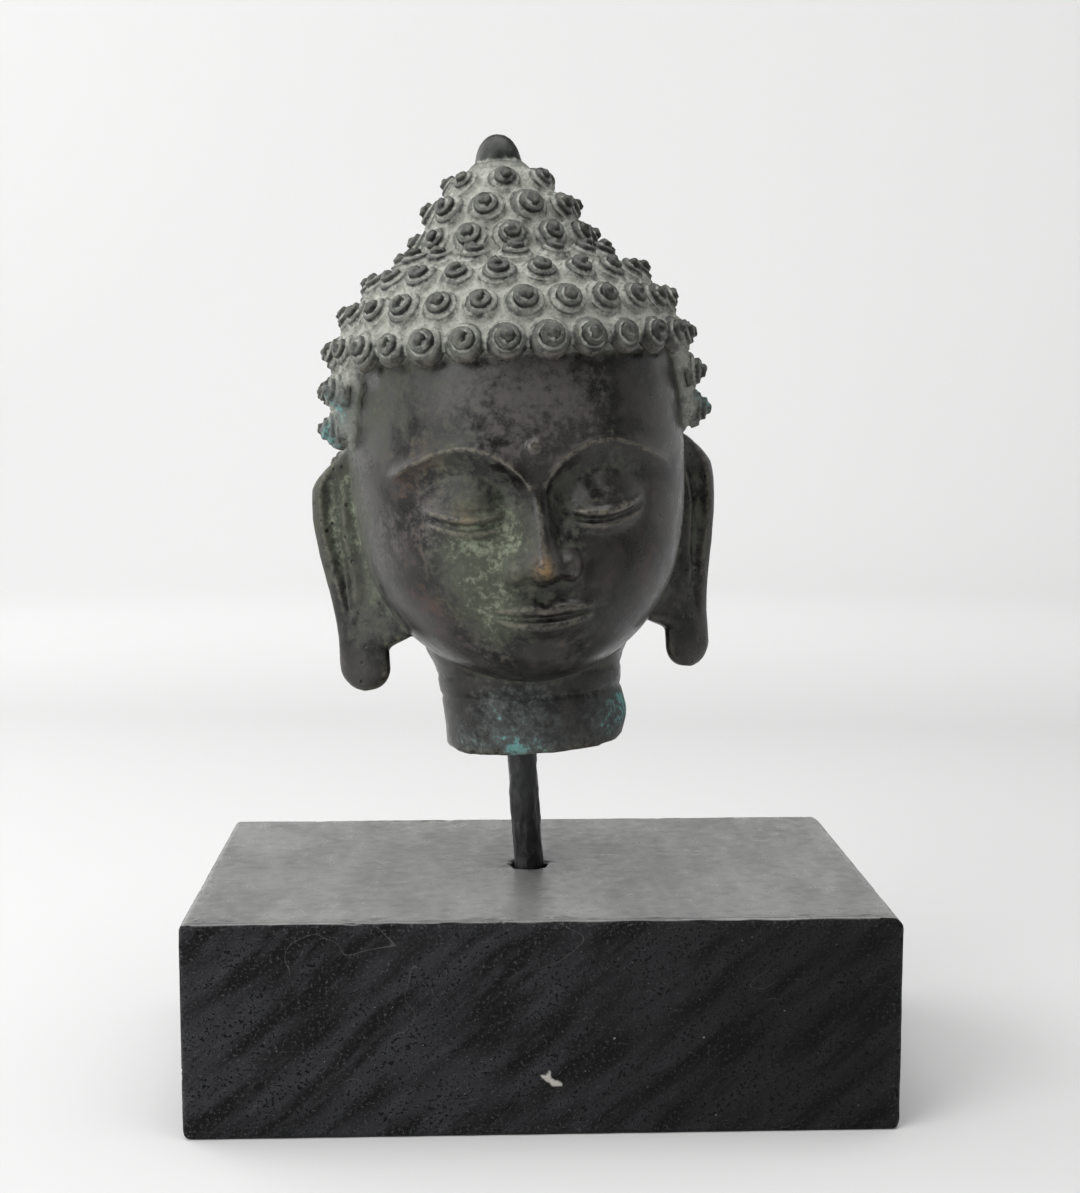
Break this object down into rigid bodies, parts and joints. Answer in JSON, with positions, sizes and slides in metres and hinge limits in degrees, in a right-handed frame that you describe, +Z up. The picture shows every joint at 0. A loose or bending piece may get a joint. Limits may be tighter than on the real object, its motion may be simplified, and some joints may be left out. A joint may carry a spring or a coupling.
{
  "type": "bronze buddha head on a stand",
  "caption": "Cast bronze head with rows of snail curls, a topknot and long ear lobes, held by a thin rod over a black wooden block.",
  "frame": {"origin": "centre of the block's underside", "axes": "+Z up, the block's long front face looks along -Y and the face looks the same way, +X to the viewer's right"},
  "size_m": [0.17, 0.1086, 0.2388],
  "materials": {
    "bronze": "dark brown patina, satin on the face, with grey green dust between the curls and blue green verdigris at the neck's rim",
    "black_iron": "thick black paint over an uneven rod, worn to dark grey near the head",
    "ebonised_wood": "black stained, sanded grey on top, open grain with slanting bands on the front"
  },
  "bodies": {
    "root": {"head": "bronze", "rod": "black_iron", "block": "ebonised_wood"}
  },
  "joints": []
}
